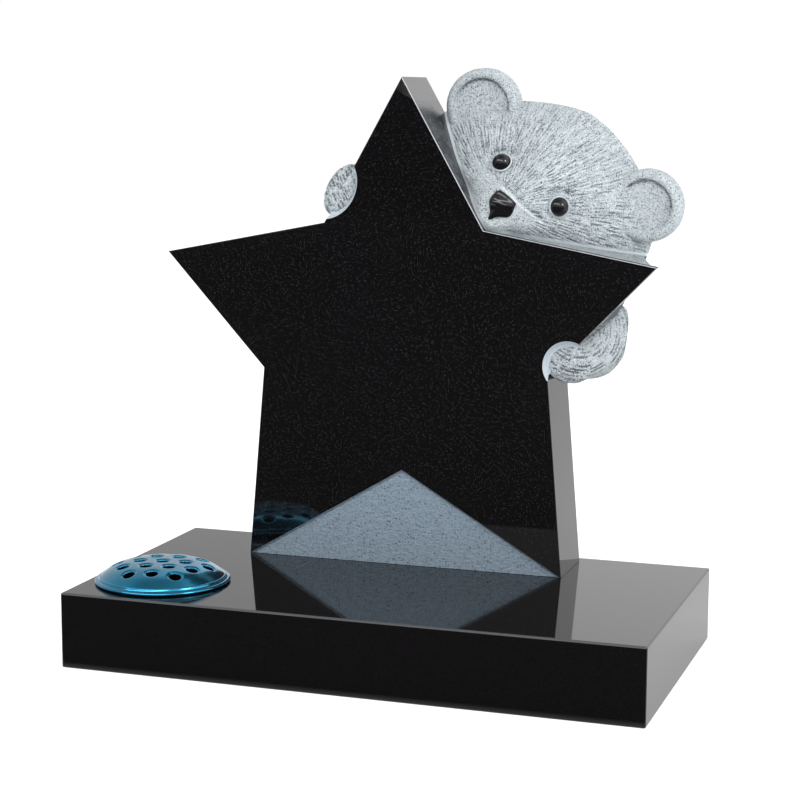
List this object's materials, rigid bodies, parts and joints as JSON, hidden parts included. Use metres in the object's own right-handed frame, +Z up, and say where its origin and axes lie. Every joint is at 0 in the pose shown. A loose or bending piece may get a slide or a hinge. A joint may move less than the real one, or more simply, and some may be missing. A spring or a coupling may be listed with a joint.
{
  "type": "headstone",
  "caption": "Polished granite headstone: a star with a carved teddy bear looking over its shoulder, on a slab with a domed flower holder lid.",
  "frame": {"origin": "on the ground, under the middle of the slab", "axes": "+X to the viewer's right, +Z up, the polished front faces -Y"},
  "size_m": [0.61, 0.33, 0.613],
  "materials": {
    "slab_granite": "polished black granite",
    "polished_granite": "polished black granite, frosted where it is carved",
    "blue_anodised_aluminium": "satin, anodised blue"
  },
  "bodies": {
    "root": {"base": "slab_granite", "headstone": "polished_granite", "flower_holder_lid": "blue_anodised_aluminium"}
  },
  "joints": []
}
